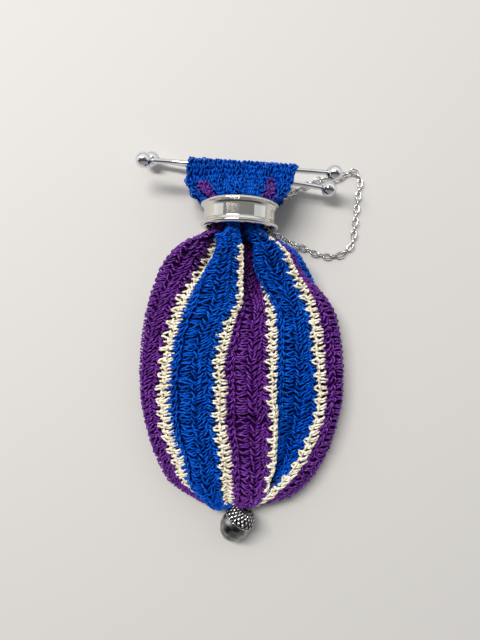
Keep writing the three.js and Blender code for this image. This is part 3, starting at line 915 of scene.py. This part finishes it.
# casings: each mouth flap runs from the ring, over its bar and back
casingShape = {
    "tube": 2.1, "thick": 2.4, "startY": 4.7, "startRadius": 7.2, "pleat": 1.4, "ringZ": 12.2,
    "droop": 1.6, "droopSide": 4, "droopFade": 2, "flatWidth": 34.8, "arcPower": 1.3, "pleatPower": 1.2,
    "pleatEdge": 0.6, "waves": table("share turns start", (1.0, 4.5, 0.4), (0.4, 7, 1.0)),
    "front": {"side": 1, "arc": 62, "shift": 1.0}, "back": {"side": -1, "arc": 56, "shift": -0.6},
    "reaches": (0, 0.1, 0.25, 0.5, 1), "leftHalves": (10.2, 12.8, 15.5, 17.3, 17.4),
    "rightHalves": (10.2, 12.8, 14.7, 16.0, 17.4), "wallSpan": 0.965, "columns": 65, "faceSteps": 22,
    "tubeSteps": 14, "loopSteps": 72, "sink": 0.55, "below": 0.85, "inner": 1.0,
    "swellFrom": 0.55, "swellSpan": 0.45, "step": 0.01, "bendFrom": 0.96,
}


def flapPoint(side, across, reach):
    shape = casingShape
    flap = shape[side]
    centre, along, _, _ = barFrame(side)
    halves = shape["leftHalves" if across < 0 else "rightHalves"]
    distance = across * np.interp(reach, shape["reaches"], halves)
    onBar = centre + along * (distance + flap["shift"])
    left = 1 - reach
    bow = math.cos(across * math.radians(flap["arc"]))
    arc = left ** shape["arcPower"] * shape["startRadius"] * bow
    wave = sum(
        row["share"] * math.cos(across * math.pi * row["turns"] + row["start"])
        for row in shape["waves"])
    flatter = 1 - shape["pleatEdge"] * abs(across)
    pleat = shape["pleat"] * left ** shape["pleatPower"] * wave * flatter
    rest = mix(shape["ringZ"], onBar[2], reach)
    low = shape["droop"] * max(across, 0) ** shape["droopSide"] * left ** shape["droopFade"]
    return np.array([
        mix(distance, onBar[0], reach), mix(shape["startY"], onBar[1], reach) - low,
        rest + flap["side"] * (arc + pleat)])


# one loop across a flap: outer face from the ring, round the bar, inner face back to the ring
def casingLoop(side, across, inset):
    shape = casingShape
    facing = shape[side]["side"]
    step = shape["step"]
    outerFace, innerFace = [], []
    for n in range(shape["faceSteps"]):
        reach = n / shape["faceSteps"]
        here = flapPoint(side, across, reach)
        beside = flapPoint(side, across + step, reach) - here
        start = min(reach, 1 - step)
        ahead = flapPoint(side, across, start + step) - flapPoint(side, across, start)
        normal = np.cross(beside, ahead)
        normal /= np.linalg.norm(normal)
        if normal[2] * facing < 0:
            normal = -normal
        swell = ease((reach - shape["swellFrom"]) / shape["swellSpan"])
        thick = mix(shape["thick"] / 2, shape["tube"], swell) - inset
        outerFace.append(here + normal * thick)
        innerFace.append(here - normal * thick)
    centre = flapPoint(side, across, 1.0)
    ahead = centre - flapPoint(side, across, shape["bendFrom"])
    _, along, _, _ = barFrame(side)
    ahead -= along * ahead.dot(along)
    ahead /= np.linalg.norm(ahead)
    up = np.cross(along, ahead)
    if up[2] * facing < 0:
        up = -up
    radius = shape["tube"] - inset
    bend = []
    for n in range(shape["tubeSteps"] + 1):
        angle = math.pi * n / shape["tubeSteps"]
        bend.append(centre + radius * (up * math.cos(angle) + ahead * math.sin(angle)))
    return np.array(outerFace + bend + innerFace[::-1])


# the same loops at equal steps of cloth; reach runs 0 to 1 over the outer face and on past the bend
def casingGrid(side, inset):
    shape = casingShape
    steps = shape["faceSteps"]
    onBend = np.ones(shape["tubeSteps"] + 1)
    reachNow = [*np.arange(steps) / steps, *onBend, *(1 + np.arange(1, steps + 1) / steps)]
    grid, reach, lengths = [], [], []
    for across in np.linspace(-1, 1, shape["columns"]):
        loop = casingLoop(side, across, inset)
        length = lengthsOf(loop)
        even = np.linspace(0, length[-1], shape["loopSteps"])
        grid.append(pointsAt(even, length, loop))
        reach.append(np.interp(even, length, reachNow))
        lengths.append(length)
    middle = lengths[len(lengths) // 2]
    return np.array(grid), np.array(reach), float(middle[-1]), float(middle[steps])


# a flap's cloth laid flat: the mean length of its loops, and its area with the narrow ends at the neck
def flapFlat(side):
    grid, reach, _, _ = casingGrid(side, casingShape["sink"])
    length = float(np.linalg.norm(np.diff(grid, axis=1), axis=2).sum(axis=1).mean())
    near = np.minimum(reach, 2 - reach)
    left, right = [
        np.interp(near, casingShape["reaches"], casingShape[key]) for key in ("leftHalves", "rightHalves")]
    return length, length * float(np.mean(left + right))


# the thin cloth under the stitches: its outer side and its inner side, joined along all four edges
def makeCasingWall(side):
    rows = casingShape["columns"]
    stations = np.linspace(-1, 1, rows) * casingShape["wallSpan"]
    sides = np.array([
        [casingLoop(side, across, inset) for across in stations]
        for inset in (casingShape["below"], casingShape["inner"])])
    count = sides.shape[2]
    inner = rows * count
    points = sides.reshape(-1, 3)
    faces = gridFaces(rows, count, flip=True) + gridFaces(rows, count, start=inner)
    end, last = inner - count, count - 1
    for c in range(last):
        faces.append([c, c + 1, inner + c + 1, inner + c])
        faces.append([end + c + 1, end + c, inner + end + c, inner + end + c + 1])
    for a in range(0, end, count):
        b = a + count
        faces.append([b, a, inner + a, inner + b])
        faces.append([a + last, b + last, inner + b + last, inner + a + last])
    name = side + "CasingWall"
    mesh = meshFrom(name, points, faces)
    for key in ("stripe", "seam"):
        addAttribute(mesh, key, np.zeros(len(points)))
    return addPiece(name, mesh, gapShadeCloth)


# crochet of the flaps
casingStitch = {
    "rowStep": 1.8, "rowWidth": 0.9, "pitch": 1.5, "margin": 0.1, "firstRow": 0.7, "lastRow": 1.8,
    "radius": 0.00025, "dive": 0.4, "shift": (0.26, 0.2, 0.14), "warp": (2.6, 1.2, 0.4), "swing": 0.4,
    "stretch": 0.16, "bulge": 0.6, "ropeFrom": -0.9, "ropeTo": 4.4, "ropeRise": 0.3,
    "slants": ((0.6, 0.14), (0.0, 0.42)), "pair": ((0.0, 0.55), (0.5, 0.45)), "underNear": 0.4,
    "underFar": 0.3,
}
# two strands of the rope row: steps from the row's near and far edges, and where they start and end along
ropeStrands = table("near start far end", (0.1, 0.0, -0.3, 0.75), (0.4, 0.4, 0.0, 1.15))
# purple ends of the gathered stripes on the front flap: bands from the ring to where they end
purpleBands = table(
    "atRing atEnd ringSpread endSpread end",
    (-0.74, -0.68, 0.17, 0.16, 0.47),
    (0.70, 0.53, 0.18, 0.07, 0.60))


# slanted rows from the ring over the bar and back, with a rope row along the bend
def makeCasingChart(name, length, bend):
    look = casingStitch
    strands = []
    count = int((length - 2 * look["margin"]) / look["rowStep"])
    for n in range(count):
        near = look["margin"] + look["rowStep"] * n
        far = near + look["rowStep"] * look["rowWidth"]
        if look["ropeFrom"] < near - bend < look["ropeTo"]:
            strands += [
                (near + rope["near"], rope["start"], far + rope["far"], rope["end"], 0.0, look["ropeRise"])
                for rope in ropeStrands]
            continue
        first, last = look["slants"][n % 2]
        for step, rise in look["pair"]:
            start = (first + step) % 1.0
            strands.append((near, start, far, start + last - first, 0.0, rise))
        strands.append((near + look["underNear"], last, far + look["underFar"], first, 0.0, 0.0))
    return makeChart(name, strands, look["pitch"], look["dive"])


# how far a place on the front flap lies inside a purple band, 0 to 1
def purpleShare(spread, reach):
    share = np.zeros(reach.shape)
    for band in purpleBands:
        way = np.clip(reach / band["end"], 0, 1)
        middle = mix(band["atRing"], band["atEnd"], way)
        width = mix(band["ringSpread"], band["endSpread"], way) * np.sqrt(1 - way ** 4) + 1e-6
        inside = np.clip(1 - (np.abs(spread - middle) / width) ** 2, 0, 1) * (reach < band["end"])
        share = np.maximum(share, inside)
    return share


def makeCasingStitches(side, seed):
    look = casingStitch
    grid, reach, wide, bend = casingGrid(side, casingShape["sink"])
    normals = gridNormals(grid, False)
    patch = np.zeros(reach.shape)
    if side == "front":
        patch = purpleShare(np.linspace(-1, 1, len(grid))[:, None], reach)
        grid = grid + normals * look["bulge"] * np.sqrt(patch)[..., None]
    skin = makeSkin(side + "CasingSkin", grid, normals, False, (patch > 0).astype(float))
    chart = makeCasingChart(side + "CasingChart", wide, bend)
    length = 2 * casingShape["leftHalves"][-1]
    first, last = look["firstRow"], length - look["lastRow"]
    starts = np.linspace(first, last, round((last - first) / look["pitch"]) + 1)
    cells = [(0.0, float(start), 0.0) for start in starts]
    piece = layStitches(
        side + "CasingStitches", cells, [1] * len(cells), chart, skin, (wide, length), casingYarn,
        look, seed)
    bpy.data.objects.remove(skin)
    bpy.data.objects.remove(chart)
    return piece


casingPieces = {}
for side, seed in (("front", 21), ("back", 22)):
    casingPieces[side] = [makeCasingWall(side), makeCasingStitches(side, seed)]
print("casings ready")


# ring: flat waist between two rolled flares
ringShape = {
    "bore": 10.1, "waist": 11.1, "flange": 12.2, "half": 4.0, "turn": -2.6, "z": 12.2, "segments": 128,
    "cornerCut": 0.25,
}


def roundOff(profile, times):
    profile, cut = np.array(profile, float), ringShape["cornerCut"]
    for _ in range(times):
        after = np.roll(profile, -1, axis=0)
        corners = [profile * (1 - cut) + after * cut, profile * cut + after * (1 - cut)]
        profile = np.stack(corners, axis=1).reshape(-1, 2)
    return profile


def makeRing():
    bore, waist, flange, half = (ringShape[k] for k in ("bore", "waist", "flange", "half"))
    lip = [
        (0.3, waist), (half - 2.75, waist), (half - 2.45, waist), (half - 2.3, waist),
        (half - 2.05, waist + 0.25), (half - 1.5, waist + 0.38), (half - 1.3, waist + 0.5),
        (half - 1.1, flange - 0.08), (half - 0.85, flange + 0.05), (half - 0.35, flange - 0.15),
        (half - 0.02, flange - 0.6), (half, bore + 0.75), (half - 0.2, bore + 0.2), (half - 0.9, bore),
        (0.3, bore)]
    profile = roundOff(lip + [(-x, r) for x, r in lip[::-1]], 2)
    turn = math.radians(ringShape["turn"])
    along = np.array([-math.sin(turn), math.cos(turn), 0.0])
    beside = np.array([math.cos(turn), math.sin(turn), 0.0])
    above = np.array([0.0, 0.0, 1.0])
    points, faces = turned(
        profile, np.array([0, 0, ringShape["z"]]), along, beside, above, ringShape["segments"], True)
    return addPiece("steelRing", meshFrom("steelRing", points, faces), ringSteel)


steelRing = makeRing()


# chain: a closed loop of oval links along its route
chainShape = {
    "length": 3.06, "width": 2.1, "wire": 0.52, "count": 50, "roll": 14.0, "around": 18, "sides": 7,
    "routeSteps": 80, "nearby": 0.02,
}
chainRoute = np.array([
    (8.3, 0, 10.4), (8.3, 4.4, 10.5), (9.9, 6.8, 10.9), (13, 7, 10), (15.8, 7.7, 6.6), (17.4, 9.2, 2.8),
    (19, 11.1, 1.1), (21.3, 12.5, 1), (24.3, 13.9, 1), (28.6, 15.2, 1), (32.4, 14.9, 1), (35.6, 16.7, 1),
    (38.2, 17.4, 1), (40.3, 15, 1), (39.9, 9.8, 1), (39.2, 4, 1), (38.5, -2, 1), (37.8, -6.6, 1),
    (34.6, -10, 1), (30, -11, 1), (25.3, -10, 1), (20.8, -7.9, 1.3), (17.5, -7.3, 4.2), (14.8, -6.6, 8.4),
    (11.6, -5.6, 10.9), (8.6, -4.2, 11)])


# closed centripetal curve through the route, sampled at equal steps of length
def routeCurve(route, samples):
    curve = []
    count = len(route)
    for i in range(count):
        p0, p1, p2, p3 = (route[(i + k) % count] for k in (-1, 0, 1, 2))
        gaps = [math.sqrt(np.linalg.norm(b - a)) for a, b in ((p0, p1), (p1, p2), (p2, p3))]
        in1 = ((p1 - p0) / gaps[0] - (p2 - p0) / (gaps[0] + gaps[1]) + (p2 - p1) / gaps[1]) * gaps[1]
        out2 = ((p2 - p1) / gaps[1] - (p3 - p1) / (gaps[1] + gaps[2]) + (p3 - p2) / gaps[2]) * gaps[1]
        for t in np.linspace(0, 1, chainShape["routeSteps"], endpoint=False):
            curve.append(smoothBetween(p1, p2, in1, out2, t))
    curve = np.array(curve + [curve[0]])
    length = lengthsOf(curve)
    even = np.linspace(0, length[-1], samples, endpoint=False)
    ahead, behind = [
        pointsAt((even + step) % length[-1], length, curve)
        for step in (chainShape["nearby"], -chainShape["nearby"])]
    tangents = ahead - behind
    return pointsAt(even, length, curve), tangents / np.linalg.norm(tangents, axis=1, keepdims=True)


# a closed wire, round or drawn out to an oval
def wireLoop(radius, stretch, wire, around, sides, first):
    points = []
    for n in range(around):
        angle = 2 * math.pi * (n + first) / around
        out = np.array([math.cos(angle), math.sin(angle), 0])
        centre = radius * out + np.array([math.copysign(stretch, out[0]), 0, 0])
        for m in range(sides):
            turn = 2 * math.pi * m / sides
            points.append(centre + wire * (math.cos(turn) * out + math.sin(turn) * np.array([0, 0, 1])))
    return np.array(points)


def makeLink():
    shape = chainShape
    radius = (shape["width"] - shape["wire"]) / 2
    stretch = (shape["length"] - shape["width"]) / 2
    around, sides = shape["around"], shape["sides"]
    points = wireLoop(radius, stretch, shape["wire"] / 2, around, sides, 0.5)
    mesh = bpy.data.meshes.new("chainLink")
    mesh.from_pydata((points * 0.001).tolist(), [], gridFaces(around, sides, True, True, flip=True))
    mesh.shade_smooth()
    return addObject("chainLink", mesh)


def makeLinkTree():
    tree, add, given = newTree(
        "threadLinks", "GeometryNodeTree", {"Geometry": "Geometry", "Link": "Object", "Steel": "Material"},
        {"Geometry": "Geometry"})
    link = add("GeometryNodeObjectInfo", {"Object": (given, "Link")})
    turn = add("GeometryNodeInputNamedAttribute", {"Name": "turn"}, data_type="FLOAT_VECTOR")
    laid = add("GeometryNodeInstanceOnPoints", {
        "Points": (given, "Geometry"), "Instance": (link, "Geometry"), "Rotation": turn})
    real = add("GeometryNodeRealizeInstances", {"Geometry": laid})
    plated = add("GeometryNodeSetMaterial", {"Geometry": real, "Material": (given, "Steel")})
    add("NodeGroupOutput", {"Geometry": plated})
    return tree


def makeChain():
    spots, tangents = routeCurve(chainRoute, chainShape["count"])
    turns = []
    for n, along in enumerate(tangents):
        across = np.cross([0, 0, 1], along)
        across /= np.linalg.norm(across)
        above = np.cross(along, across)
        roll = math.radians(chainShape["roll"] + (90 if n % 2 else 0))
        basis = Matrix(np.stack([along, across, above], axis=1).tolist()) @ Matrix.Rotation(roll, 3, "X")
        turns.append(tuple(basis.to_euler("XYZ")))
    link = makeLink()
    piece = runTree(
        "cableChain", makeLinkTree(), toFrame(spots), {"turn": turns}, {"Link": link, "Steel": chainSteel})
    bpy.data.objects.remove(link)
    return piece


cableChain = makeChain()


# acorn: scaled cap and smooth nut in one casting
# the nut's darkening is a painted dark reflection of the room; the cap's hollows, the groove and the loop
# carry patina
acornShape = {
    "top": (2.4, -93.4, 5.9), "turn": 33.0, "drop": 6.0, "grow": 1.08, "segments": 168, "scales": 21,
    "scaleRows": 7.0, "relief": 0.42, "loop": 0.8, "wire": 0.3, "nutPaintedReflection": 0.6, "loopTarnish": 0.45,
    "rows": 140, "capRow": 6, "loopAround": 28, "loopSides": 10, "rimFade": 0.35, "bareTop": 0.7,
    "topFade": 0.8, "scalePower": 0.6, "fullRelief": 2.5, "groove": 0.5, "grooveSpan": 0.35, "nutFrom": 0.3,
    "nutFade": 0.6, "shade": 2.0, "thinnest": 0.01,
}
acornProfile = np.array([
    (0.02, 0), (1.6, -0.25), (3.1, -0.9), (4.1, -1.8), (4.7, -2.8), (4.95, -3.8), (4.75, -4.62), (4.1, -4.9),
    (4.2, -5.2), (4.45, -6.4), (4.2, -8.4), (3.2, -10.2), (1.7, -11.4), (0.75, -11.9), (0.02, -12.1)])


def makeAcorn():
    shape = acornShape
    along = lengthsOf(acornProfile)
    fine = np.linspace(0, along[-1], shape["rows"])
    radius, height = [np.interp(fine, along, acornProfile[:, axis]) for axis in (0, 1)]
    for _ in range(3):
        for line in (radius, height):
            line[1:-1] = (line[:-2] + 2 * line[1:-1] + line[2:]) / 4
    capEnd = along[shape["capRow"]]
    segments = shape["segments"]
    angle = np.arange(segments) / segments * 2 * math.pi
    points, patinaAndPaintedReflection = [], []
    for r, y, far in zip(radius, height, fine):
        belowTop = ease((far - shape["bareTop"]) / shape["topFade"])
        onCap = float(ease((capEnd - far) / shape["rimFade"]) * belowTop)
        row = far / capEnd * shape["scaleRows"]
        turn = angle / (2 * math.pi) * shape["scales"]
        one, two = [np.abs(np.sin(math.pi * (turn + slope * row / 2))) for slope in (1, -1)]
        bump = np.minimum(one, two) ** shape["scalePower"]
        deep = shape["relief"] * onCap * (1 - bump) * min(1.0, r / shape["fullRelief"])
        real = np.maximum(r - deep, shape["thinnest"])
        points.append(np.stack([real * np.cos(angle), np.full(segments, y), real * np.sin(angle)], axis=1))
        past = far - capEnd
        groove = math.exp(-((past - shape["groove"]) / shape["grooveSpan"]) ** 2)
        # the nut's colour is darkened all over: painted dark reflection of the room around it
        paintedNutReflection = float(ease((past - shape["nutFrom"]) / shape["nutFade"])) * shape["nutPaintedReflection"]
        shade = np.clip(onCap * (1 - bump) * shape["shade"], 0, 1)
        patinaAndPaintedReflection.append(np.maximum(shade, max(groove, paintedNutReflection)))
    faces = capEnds(gridFaces(len(fine), segments, True, flip=True), len(fine), segments)
    faces[-2], faces[-1] = faces[-2][::-1], faces[-1][::-1]
    around, sides = shape["loopAround"], shape["loopSides"]
    faces += gridFaces(around, sides, True, True, start=len(fine) * segments, flip=True)
    loop = wireLoop(shape["loop"], 0, shape["wire"], around, sides, 0)
    points = np.concatenate([*points, loop + np.array([0, shape["loop"], 0])])
    patinaAndPaintedReflection = np.concatenate([*patinaAndPaintedReflection, np.full(len(loop), shape["loopTarnish"])])
    drop, turn = math.radians(shape["drop"]), math.radians(-shape["turn"])
    tilt = np.array([[1, 0, 0], [0, math.cos(drop), -math.sin(drop)], [0, math.sin(drop), math.cos(drop)]])
    swing = np.array([[math.cos(turn), -math.sin(turn), 0], [math.sin(turn), math.cos(turn), 0], [0, 0, 1]])
    points = shape["grow"] * points @ tilt.T @ swing.T + np.array(shape["top"])
    mesh = meshFrom("acornCharm", points, faces)
    addAttribute(mesh, "patinaAndPaintedReflection", patinaAndPaintedReflection)
    return addPiece("acornCharm", mesh, castSilver)


acornCharm = makeAcorn()
print("ring, chain and acorn ready")


# floor and soft light
stage = {
    "floor": 3.0, "floorZ": -0.0002, "floorColour": (0.56, 0.55, 0.535, 1), "floorRoughness": 0.9,
    "room": {
        "colour": (0.97, 0.98, 1.0, 1), "horizon": 0.5, "fadeFrom": 0.08, "fadeTo": 0.4,
        "overhead": (
            (0.0, 0.32), (0.18, 0.3), (0.3, 0.06), (0.45, 0.1),
            (0.56, 0.26), (0.63, 0.3), (0.74, 1.1), (1.0, 1.1)),
    },
    "lights": table(
        "name spot size power colour",
        ("keyLight", (-0.26, 0.32, 0.66), (0.5, 0.14), 6.4, (1.0, 0.97, 0.93)),
        ("leftPanel", (-0.60, 0.17, 0.21), (0.42, 0.4), 0.3, (1.0, 1.0, 1.0)),
        ("rightPanel", (0.60, 0.17, 0.26), (0.5, 0.4), 0.32, (0.93, 0.98, 1.0))),
}


def makeFloor():
    half = stage["floor"] / 2
    mesh = bpy.data.meshes.new("paleFloor")
    corners = [(x * half, y * half, stage["floorZ"]) for x, y in ((-1, -1), (1, -1), (1, 1), (-1, 1))]
    mesh.from_pydata(corners, [], [(0, 1, 2, 3)])
    material, _, shader = newMaterial("paleFloor")
    feed(shader, {"Base Color": stage["floorColour"], "Roughness": stage["floorRoughness"]})
    addPiece("paleFloor", mesh, material)


def makeRoom():
    world = bpy.data.worlds.new("softRoom")
    world.use_nodes = True
    add = nodesOf(world.node_tree)
    room = stage["room"]
    parts = add("ShaderNodeSeparateXYZ", {"Vector": (add("ShaderNodeTexCoord"), "Generated")})
    side = add("ShaderNodeMapRange", {"Value": (parts, "Y"), "From Min": -1.0, "From Max": 1.0})
    overhead = add("ShaderNodeValToRGB", {"Fac": side})
    stops = overhead.color_ramp.elements
    while len(stops) < len(room["overhead"]):
        stops.new(0.5)
    for stop, (place, level) in zip(stops, room["overhead"]):
        stop.position = place
        stop.color = (level, level, level, 1)
    climb = add(
        "ShaderNodeMapRange",
        {"Value": (parts, "Z"), "From Min": room["fadeFrom"], "From Max": room["fadeTo"]})
    level = blend(add, climb, (room["horizon"],) * 3 + (1,), overhead)
    feed(world.node_tree.nodes["Background"], {"Color": room["colour"], "Strength": level})
    scene.world = world


def makeLights():
    for row in stage["lights"]:
        data = bpy.data.lights.new(row["name"], "AREA")
        data.shape = "RECTANGLE"
        data.size, data.size_y = row["size"]
        data.energy = row["power"]
        data.color = row["colour"]
        light = addObject(row["name"], data)
        light.location = row["spot"]
        aim = -Vector(row["spot"]).normalized()
        light.rotation_euler = (math.asin(aim.y), math.atan2(-aim.x, -aim.z), 0.0)


makeFloor()
makeRoom()
makeLights()
for helper in (pouchSkin, colourChart, creamChart):
    bpy.data.objects.remove(helper)
print("floor and light ready")


# bodies and replaced nodes
def attach(piece, body, slot, *nodes):
    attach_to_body(piece, body)
    if nodes:
        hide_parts(*nodes)


attach(pouchWall, "purse", "striped_yarn", "pouch_body")
for piece in pouchStitches:
    attach(piece, "purse", "striped_yarn", "pouch_body")
for side in ("front", "back"):
    for piece in casingPieces[side]:
        attach(piece, "purse", "blue_yarn", f"{side}_casing")
    for piece, node in zip(barPieces[side], ("rod", "ball_left", "ball_right")):
        attach(piece, f"{side}_bar", "polished_steel", f"{side}_bar_{node}")
attach(steelRing, "purse", "polished_steel", "ring")
attach(cableChain, "purse", "polished_steel", "chain")
attach(acornCharm, "purse", "cast_silver", "acorn_charm")

# cloth sizes: each flap's strip round its bar, laid flat, its length and area
for side in ("front", "back"):
    flapLength, flapArea = flapFlat(side)
    print(side, "flap flat", casingShape["flatWidth"], round(flapLength, 2), "mm, area", round(flapArea, 1))
